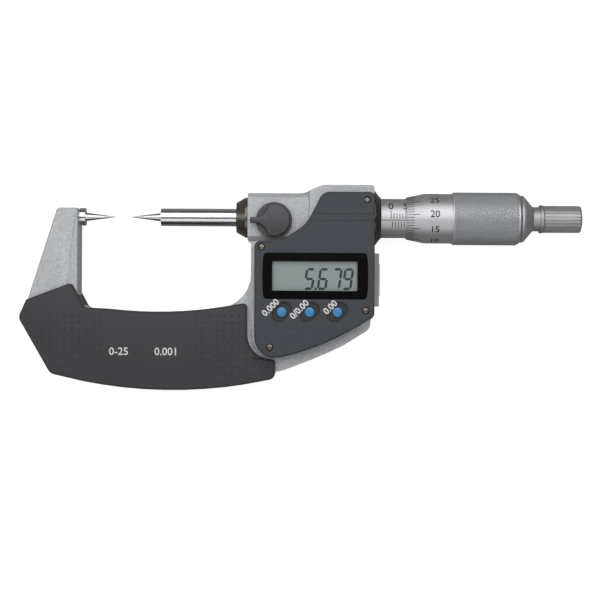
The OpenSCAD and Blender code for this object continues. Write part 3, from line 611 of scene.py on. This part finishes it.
def turned(profile, sides=96):
    """A solid turned about the measuring axis from a closed loop of (along, radius) pairs in millimetres."""
    build = bmesh.new()
    rings = []
    for along, radius in profile:
        turns = [2 * pi * i / sides for i in range(sides)] if radius > 0 else [0.0]
        rings.append([build.verts.new(at(along, radius * sin(turn), radius * cos(turn))) for turn in turns])
    for near, far in zip(rings, rings[1:] + rings[:1]):
        if len(near) == len(far) == 1:
            continue
        for i in range(sides):
            loop = [near[i % len(near)], near[(i + 1) % len(near)],
                    far[(i + 1) % len(far)], far[i % len(far)]]
            build.faces.new(list(dict.fromkeys(loop)))
    bmesh.ops.recalc_face_normals(build, faces=build.faces)
    return build


rows_round, given, made = growing("rows_round_a_shaft", (
    ("Rows", "Int"), ("Around", "Int"), ("First row", "Vector"), ("Row pitch", "Float"), ("Radius", "Float"),
    ("Stagger", "Float"), ("Shape", "Object"), ("Finish", "Material")))


def reckon(operation, *values):
    """A number worked out in the tree of rows round a shaft."""
    return wire(rows_round, "ShaderNodeMath", dict(enumerate(values)), operation=operation).outputs[0]


number = wire(rows_round, "GeometryNodeInputIndex").outputs[0]
row = reckon("FLOOR", reckon("DIVIDE", reckon("ADD", number, 0.5), given["Around"]))
column = reckon("SUBTRACT", number, reckon("MULTIPLY", row, given["Around"]))
shifted = reckon("ADD", column, reckon("MULTIPLY", given["Stagger"], reckon("MODULO", row, 2.0)))
row_turn = reckon("DIVIDE", reckon("MULTIPLY", shifted, 2 * pi), given["Around"])
row_place = wire(rows_round, "ShaderNodeCombineXYZ", {
    0: reckon("MULTIPLY", row, given["Row pitch"]),
    1: reckon("MULTIPLY", reckon("MULTIPLY", reckon("SINE", row_turn), -1.0), given["Radius"]),
    2: reckon("MULTIPLY", reckon("COSINE", row_turn), given["Radius"])})
row_place = wire(rows_round, "ShaderNodeVectorMath", {0: row_place.outputs[0], 1: given["First row"]},
                 operation="ADD")
row_points = wire(rows_round, "GeometryNodePoints", {
    "Count": reckon("MULTIPLY", given["Rows"], given["Around"]), "Position": row_place.outputs[0]})
row_shapes = wire(rows_round, "GeometryNodeInstanceOnPoints", {
    "Points": row_points.outputs[0],
    "Instance": wire(rows_round, "GeometryNodeObjectInfo", {"Object": given["Shape"]}).outputs["Geometry"],
    "Rotation": wire(rows_round, "ShaderNodeCombineXYZ", {0: row_turn}).outputs[0]})
row_shapes = wire(rows_round, "GeometryNodeRealizeInstances", {"Geometry": row_shapes.outputs[0]})
row_shapes = wire(rows_round, "GeometryNodeSetMaterial", {
    "Geometry": row_shapes.outputs[0], "Material": given["Finish"]})
rows_round.links.new(row_shapes.outputs[0], made["Geometry"])


def small_solid(name, corners, faces):
    """A template solid from corners in millimetres."""
    mesh = bpy.data.meshes.new(name)
    mesh.from_pydata([Vector(corner) * millimetre for corner in corners], [], faces)
    return linked(name, mesh)


thimble_edge = (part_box("thimble")[0].x - datum.x) / millimetre
thimble_end = (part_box("thimble")[1].x - datum.x) / millimetre
knurl_tip = (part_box("thimble")[1].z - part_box("thimble")[0].z) / 2 / millimetre
edge_radius, drum_radius, bore_radius, knurl_root = 7.15, 8.45, 6.8, 8.64
bevel_end, knurl_start = thimble_edge + 6, thimble_edge + 15.4
cap_bore, cap_bore_start = 7.1, thimble_end - 9
drum = turned([
    (thimble_edge, bore_radius), (thimble_edge, edge_radius - 0.08), (thimble_edge + 0.08, edge_radius),
    (bevel_end, drum_radius - 0.02), (bevel_end + 0.3, drum_radius), (knurl_start - 0.12, drum_radius),
    (knurl_start, drum_radius + 0.02), (knurl_start + 0.35, knurl_root), (thimble_end - 0.6, knurl_root),
    (thimble_end - 0.1, 8.3), (thimble_end, 8.2), (thimble_end, cap_bore), (cap_bore_start, cap_bore),
    (cap_bore_start, bore_radius)])
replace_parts(piece(drum, "thimble_drum", satin_chrome, "spindle", smooth=25), "thimble")

knurled_chrome = finish("knurled_chrome", ((0.46, 0.475, 0.485), (0.56, 0.575, 0.59)), (0.44, 0.56),
                        moulded_grain, 0.3, 0.01, metallic=1.0)
around, row_step = 60, 0.48
half_width = pi * knurl_root / around
point_share, foot = 0.14, -0.06
lozenge_corners = [(row_step, 0, foot), (0, half_width, foot), (-row_step, 0, foot), (0, -half_width, foot)]
lozenge_height = knurl_tip - knurl_root
lozenge_corners += [(x * point_share, y * point_share, lozenge_height) for x, y, z in lozenge_corners]
lozenge = small_solid("lozenge", lozenge_corners, [
    (3, 2, 1, 0), (0, 1, 5, 4), (1, 2, 6, 5), (2, 3, 7, 6), (3, 0, 4, 7), (4, 5, 6, 7)])
knurl_rows = int((thimble_end - knurl_start - 1.6) / row_step)
grown(rows_round, "thimble_knurl", {
    "Rows": knurl_rows, "Around": around, "First row": at(knurl_start + 0.85),
    "Row pitch": row_step * millimetre, "Radius": knurl_root * millimetre, "Stagger": 0.5, "Shape": lozenge,
    "Finish": knurled_chrome}, "spindle", smooth=10)
bpy.data.objects.remove(lozenge)

division, reading_on_line, half_division_mark = 7.2, 17.9, 0.11
thimble_strokes, thimble_figures = [], []
for k in range(50):
    arc = (line_turn + radians((k - reading_on_line) * division)) * drum_radius
    arc = (arc + pi * drum_radius) % (2 * pi * drum_radius) - pi * drum_radius
    length = 4.3 if k % 5 == 0 else 2.5
    thimble_strokes.append((thimble_edge + 0.2, thimble_edge + length, arc - half_division_mark,
                            arc + half_division_mark))
    if k % 5 == 0:
        thimble_figures.append(flat_figures(str(k), 2.3, thimble_edge + 9.4, arc))


def drum_radius_at(along):
    """The drum's radius on its bevel or behind it."""
    share = min(max((along - thimble_edge) / (bevel_end - thimble_edge), 0), 1)
    return edge_radius + share * (drum_radius - edge_radius)


engraved(thimble_strokes, thimble_figures, "thimble_marks", drum_radius_at, drum_radius, "spindle")
dress(satin_chrome, "thimble_cap")
dress(black_rubber, "thimble_seal")


# ---- ratchet stop ----
# The ribbed knob slips at a set force, so each reading is taken with the same touch. Inside, a sprung pawl
# ring rides over the teeth of a wheel on the spindle's end.

knob_steel = finish("knob_steel", ((0.40, 0.39, 0.40), (0.50, 0.49, 0.50)), (0.5, 0.62), turned_lines, 0.2,
                    0.02, metallic=1.0)
knob_start, knob_end = ((corner.x - datum.x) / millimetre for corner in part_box("ratchet_knob"))
knob_body = merged("ratchet_knob")
collar_over_ribs, rib_depth, collar_length = 0.2, 0.16, 1.5
rib_tip = (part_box("ratchet_knob")[1].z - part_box("ratchet_knob")[0].z) / 2 / millimetre - collar_over_ribs
rib_root = rib_tip - rib_depth
for vertex in knob_body.verts:
    offset = (vertex.co - datum) / millimetre
    radius = (offset.y ** 2 + offset.z ** 2) ** 0.5
    if abs(radius - rib_tip) < 0.06 and offset.x > knob_start + collar_length:
        share = rib_root / radius
        vertex.co = at(offset.x, offset.y * share, offset.z * share)
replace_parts(piece(knob_body, "knob_body", knob_steel, "ratchet"), "ratchet_knob")
rib_half, rib_length = 0.5, knob_end - knob_start - 1.6
rib = small_solid("rib", [
    (0, -rib_half, -0.1), (rib_length, -rib_half, -0.1), (rib_length, rib_half, -0.1), (0, rib_half, -0.1),
    (0.25, -rib_half * 0.8, rib_tip - rib_root), (rib_length - 0.45, -rib_half * 0.8, rib_tip - rib_root),
    (rib_length - 0.45, rib_half * 0.8, rib_tip - rib_root), (0.25, rib_half * 0.8, rib_tip - rib_root)], [
    (3, 2, 1, 0), (0, 1, 5, 4), (1, 2, 6, 5), (2, 3, 7, 6), (3, 0, 4, 7), (4, 5, 6, 7)])
grown(rows_round, "knob_ribs", {
    "Rows": 1, "Around": 26, "First row": at(knob_start + 1.3), "Row pitch": 0.0,
    "Radius": rib_root * millimetre, "Stagger": 0.0, "Shape": rib, "Finish": knob_steel},
    "ratchet", smooth=10)
bpy.data.objects.remove(rib)
dress(knob_steel, "ratchet_neck")
dress(plain_steel, "ratchet_screw", "ratchet_wheel", "ratchet_pawl", "ratchet_spring")


# ---- display ----
# A reflective liquid crystal panel in a white holder, joined to the board by rubber contact strips, under a
# clear acrylic window whose border is printed black on the back.

lcd_grey = finish("lcd_grey", ((0.31, 0.35, 0.345), (0.35, 0.39, 0.385)), (0.35, 0.45), moulded_grain, 0.3,
                  0.003, patch=20.0)
lcd_dark = finish("lcd_dark", ((0.008, 0.028, 0.042), (0.012, 0.036, 0.052)), (0.4, 0.5), moulded_grain,
                  0.3, 0.002)
white_plastic = finish("white_plastic", ((0.6, 0.6, 0.58), (0.68, 0.68, 0.66)), (0.4, 0.5), moulded_grain,
                       0.3, 0.01)
dress(lcd_grey, "lcd_panel")
dress(white_plastic, "lcd_holder")
dress(black_rubber, "contact_strips")

lit_bars = {"5": "afgcd", "6": "afgcde", "7": "abc", "9": "abcdfg"}


def seven_bars(digit, left, bottom, width, height, bar):
    """A figure of up to seven slanted bars, as a thin flat solid in millimetres."""
    middle, gap, slant = height / 2, 0.09, 0.14
    ends = {"a": ((0, height), (width, height)), "b": ((width, height), (width, middle)),
            "c": ((width, middle), (width, 0)), "d": ((0, 0), (width, 0)), "e": ((0, middle), (0, 0)),
            "f": ((0, height), (0, middle)), "g": ((0, middle), (width, middle))}
    build = bmesh.new()
    for lit in lit_bars[digit]:
        start, end = (Vector(p) for p in ends[lit])
        run = (end - start).normalized()
        side = Vector((-run.y, run.x)) * bar / 2
        start, end = start + run * (bar / 2 + gap), end - run * (bar / 2 + gap)
        tip = run * bar / 2
        outline = [start - tip, start + side, end + side, end + tip, end - side, start - side]
        below = [build.verts.new((left + p.x + p.y * slant, bottom + p.y, -0.01)) for p in outline]
        above = [build.verts.new((v.co.x, v.co.y, 0.02)) for v in below]
        build.faces.new(below)
        build.faces.new(above[::-1])
        for i in range(6):
            build.faces.new((below[i], above[i], above[(i + 1) % 6], below[(i + 1) % 6]))
    bmesh.ops.recalc_face_normals(build, faces=build.faces)
    mesh = bpy.data.meshes.new(digit)
    build.to_mesh(mesh)
    build.free()
    return mesh


lcd_front = (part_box("lcd_panel")[1].z - datum.z) / millimetre
digit_height, digit_width, digit_low, bar_width = 6.5, 2.5, -24.2, 0.82
point_block, point_start, point_end, point_half = bmesh.new(), 68.0, 68.8, 0.4
stroke(point_block, point_start, point_end, digit_low - point_half, digit_low + point_half)
point_mesh = bpy.data.meshes.new("point")
point_block.to_mesh(point_mesh)
point_block.free()
digits = [seven_bars(digit, left, digit_low, digit_width, digit_height, bar_width)
          for digit, left in (("5", 64.6), ("6", 69.1), ("7", 73.6), ("9", 77.4))]
printed(digits + [point_mesh], "lcd_figures", lcd_dark, "frame", lcd_front)

window_low, window_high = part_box("display_window")
window_black = finish("window_black", ((0.002, 0.002, 0.002), (0.004, 0.003, 0.003)), (0.05, 0.1),
                      moulded_grain, 0.6, 0.002, sockets={"Specular IOR Level": 0.35})
clear_acrylic = finish("clear_acrylic", ((0.02, 0.03, 0.03), (0.04, 0.05, 0.05)), (0.03, 0.06),
                       moulded_grain, 0.6, 0.002, sockets={"Alpha": 0.06})
lcd_low, lcd_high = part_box("lcd_panel")


def framed_plate(outer, inner, low, high, radius):
    """A plate with rounded corners and, where inner is given, a rectangular opening."""
    build = bmesh.new()
    (x0, y0), (x1, y1) = outer
    loop, in_corner = [], 7
    for cx, cy, start in ((x1 - radius, y1 - radius, 0), (x0 + radius, y1 - radius, 90),
                          (x0 + radius, y0 + radius, 180), (x1 - radius, y0 + radius, 270)):
        turns = [radians(start + 90 * i / (in_corner - 1)) for i in range(in_corner)]
        loop += [(cx + radius * cos(turn), cy + radius * sin(turn)) for turn in turns]
    if inner:
        (u0, v0), (u1, v1) = inner
        hole = [corner for corner in ((u1, v1), (u0, v1), (u0, v0), (u1, v0)) for i in range(in_corner)]
    rings = []
    for z in (low, high):
        rings.append([build.verts.new((x, y, z)) for x, y in loop])
        if inner:
            rings.append([build.verts.new((x, y, z)) for x, y in hole])
    count = len(loop)
    if inner:
        bottom, bottom_hole, top, top_hole = rings
        bands = ((top_hole, top), (bottom, bottom_hole), (top, bottom), (bottom_hole, top_hole))
    else:
        bottom, top = rings
        bands = ((top, bottom),)
        build.faces.new(bottom)
        build.faces.new(top)
    for first, second in bands:
        for i in range(count):
            j = (i + 1) % count
            build.faces.new((first[i], first[j], second[j], second[i]))
    bmesh.ops.remove_doubles(build, verts=build.verts, dist=1e-6)
    bmesh.ops.recalc_face_normals(build, faces=build.faces)
    return build


pane_margins = [Vector((m[0], m[1])) * millimetre for m in ((0.7, 0.85), (-1.0, -0.8))]
pane = tuple(tuple(corner.xy + margin) for corner, margin in zip((lcd_low, lcd_high), pane_margins))
border = framed_plate(((window_low.x, window_low.y), (window_high.x, window_high.y)), pane,
                      window_low.z, window_high.z, 1.2 * millimetre)
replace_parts(piece(border, "window_border", window_black, "frame"), "display_window")
inset = 0.02 * millimetre
pane_outline = ((pane[0][0] + inset, pane[0][1] + inset), (pane[1][0] - inset, pane[1][1] - inset))
clear = framed_plate(pane_outline, None, window_low.z, window_high.z, 0.1 * millimetre)
piece(clear, "window_pane", clear_acrylic, "frame")


# ---- board ----
# The circuit board behind the panel, of green laminate. Under each button it has a sprung metal dome, which
# clicks and closes the contact.

board_green = finish("board_green", ((0.01, 0.09, 0.035), (0.02, 0.13, 0.05)), (0.3, 0.45), moulded_grain,
                     0.5, 0.02)
switch_dome = finish("switch_dome", ((0.6, 0.5, 0.3), (0.7, 0.6, 0.4)), (0.2, 0.3), moulded_grain, 0.4,
                     0.01, metallic=1.0)
dress(board_green, "main_board")
dress(switch_dome, "switch_domes")


# ---- front cover ----
# The moulded face of the housing, with a slanted recess for each button and plain figures beside them. Four
# small plated screws hold it to the casting on a rubber gasket.

cover_plastic = finish("cover_plastic", ((0.030, 0.035, 0.044), (0.045, 0.052, 0.063)), (0.4, 0.52),
                       moulded_grain, 0.35, 0.02, sockets={"Specular IOR Level": 0.38})
dress(cover_plastic, "front_cover")
dress(black_rubber, "cover_gasket")
cover_front = (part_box("front_cover")[1].z - datum.z) / millimetre
small_stud = round_template("small_stud", ((0, -0.1), (0.42, -0.1), (0.4, 0.0), (0.32, 0.06), (0.18, 0.1),
                                           (0, 0.11)), 10)
small_stud_places = level_places("front_cover", 2.55, (56.4, -37.2), (75, -46), lambda along, up: True, 1.1)
grown(copies, "cover_studs", {"Shape": small_stud, "Turn": (0, 0, 0), "Finish": cover_plastic},
      "frame", points_mesh(small_stud_places))
bpy.data.objects.remove(small_stud)
printed([flat_figures(text, 2.1, along, up, 45, 0.035) for text, along, up in (
    ("0.000", 53.4, -30.6), ("0/0.00", 63.0, -31.2), ("0.00", 73.3, -30.4))],
    "cover_figures", print_white, "frame", cover_front)

# A thin black ring at the floor of each button recess, round the button: painted shade that stands in for the
# shadow deep in the well. It is not a real rubber part.
well_low, well_half_thickness = cover_front - 0.76, 0.05
well_long, well_wide, well_hole, well_sides = 2.6, 2.45, 1.72, 48
well_shade_rings = bmesh.new()
for name in ("left", "middle", "right"):
    low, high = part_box("button_" + name)
    centre = ((low + high) / 2 - datum) / millimetre
    rings = []
    for z in (well_low - well_half_thickness, well_low + well_half_thickness):
        outer, inner = [], []
        for i in range(well_sides):
            turn = 2 * pi * (i + 0.5) / well_sides
            along_slot = well_long / 2 if cos(turn) > 0 else -well_long / 2
            spread = Vector((along_slot + well_wide * cos(turn), well_wide * sin(turn)))
            hole = Vector((well_hole * cos(turn), well_hole * sin(turn)))
            for ring, flat in ((outer, spread), (inner, hole)):
                flat = Matrix.Rotation(radians(45), 2) @ flat
                ring.append(well_shade_rings.verts.new(at(centre.x + flat.x, centre.y + flat.y, z)))
        rings.append((outer, inner))
    (outer_low, inner_low), (outer_high, inner_high) = rings
    for first, second in ((outer_high, inner_high), (inner_low, outer_low), (outer_low, outer_high),
                          (inner_high, inner_low)):
        for i in range(well_sides):
            j = (i + 1) % well_sides
            well_shade_rings.faces.new((first[i], first[j], second[j], second[i]))
bmesh.ops.recalc_face_normals(well_shade_rings, faces=well_shade_rings.faces)
piece(well_shade_rings, "button_membranes", black_rubber, "frame")

screw_plating = finish("screw_plating", ((0.22, 0.17, 0.13), (0.32, 0.26, 0.2)), (0.2, 0.34), moulded_grain,
                       0.4, 0.01, metallic=1.0)
screw_top, screw_foot = ((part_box("cover_screws")[i].z - datum.z) / millimetre for i in (1, 0))
head_under, sides = 11.5, 24
screw = round_template("screw", (
    (0, screw_foot), (0.45, screw_foot), (0.6, screw_foot + 0.3), (0.6, head_under), (1.05, head_under),
    (1.05, screw_top - 0.28), (0.95, screw_top - 0.1), (0.62, screw_top), (0.58, screw_top - 0.02),
    (0.28, screw_top), (0.2, screw_top), (0, screw_top)), sides)
for vertex in screw.data.vertices:
    radius = vertex.co.xy.length / millimetre
    quarter = (atan2(vertex.co.y, vertex.co.x) / (pi / 2)) % 1
    in_arm = min(quarter, 1 - quarter) * 90 < 8 and radius < 0.6
    if vertex.co.z > (screw_top - 0.05) * millimetre and (in_arm or radius < 0.25):
        vertex.co.z -= 0.4 * millimetre
screw_places = [at(along, up) for along, up in ((85.4, 5.5), (50.2, -10.3), (85.1, -31.4), (53.1, -43.8))]
screws = grown(copies, "cover_screw_set", {
    "Shape": screw, "Turn": (0, 0, radians(35)), "Finish": screw_plating},
    "frame", points_mesh(screw_places))
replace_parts(screws, "cover_screws")
bpy.data.objects.remove(screw)


# ---- buttons ----
# Three short buttons of bright blue nylon, which slide in holes in the cover, each over its switch dome. A
# flange on each, under the cover, keeps it in.

blue_plastic = finish("blue_plastic", ((0.032, 0.185, 0.42), (0.05, 0.24, 0.50)), (0.28, 0.38),
                      moulded_grain, 0.3, 0.01, sockets={"Coat Weight": 0.3})
for name in ("left", "middle", "right"):
    button = merged("button_" + name)
    soften(button, 0.28, lambda edge, p: p.z > cover_front - 0.2, segments=3)
    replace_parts(piece(button, name + "_button_cap", blue_plastic, name + "_button"),
                "button_" + name)


# ---- battery ----
# A silver oxide cell on a bronze contact spring, under a round cap in the back. A coin turns the cap home in
# its bayonet, against a rubber ring.

cell_steel = finish("cell_steel", ((0.55, 0.55, 0.55), (0.65, 0.65, 0.64)), (0.2, 0.3), moulded_grain, 0.3,
                    0.005, metallic=1.0)
black_plastic = finish("black_plastic", ((0.02, 0.02, 0.022), (0.035, 0.035, 0.037)), (0.4, 0.52),
                       moulded_grain, 0.3, 0.02)
dress(cell_steel, "battery")
dress(bush_bronze, "battery_spring")
dress(black_plastic, "battery_cap")
dress(black_rubber, "battery_cap_seal")


# ---- data socket ----
# The output socket in the end of the housing, for a cable to a computer. A ribbed grey plastic cover, held by
# two screws, keeps it clean.

grey_plastic = finish("grey_plastic", ((0.27, 0.27, 0.275), (0.33, 0.33, 0.335)), (0.42, 0.55),
                      moulded_grain, 0.3, 0.02)
dress(black_plastic, "data_socket")
dress(grey_plastic, "data_socket_cover")
dress(plain_steel, "data_cover_screws")


bpy.context.view_layer.update()
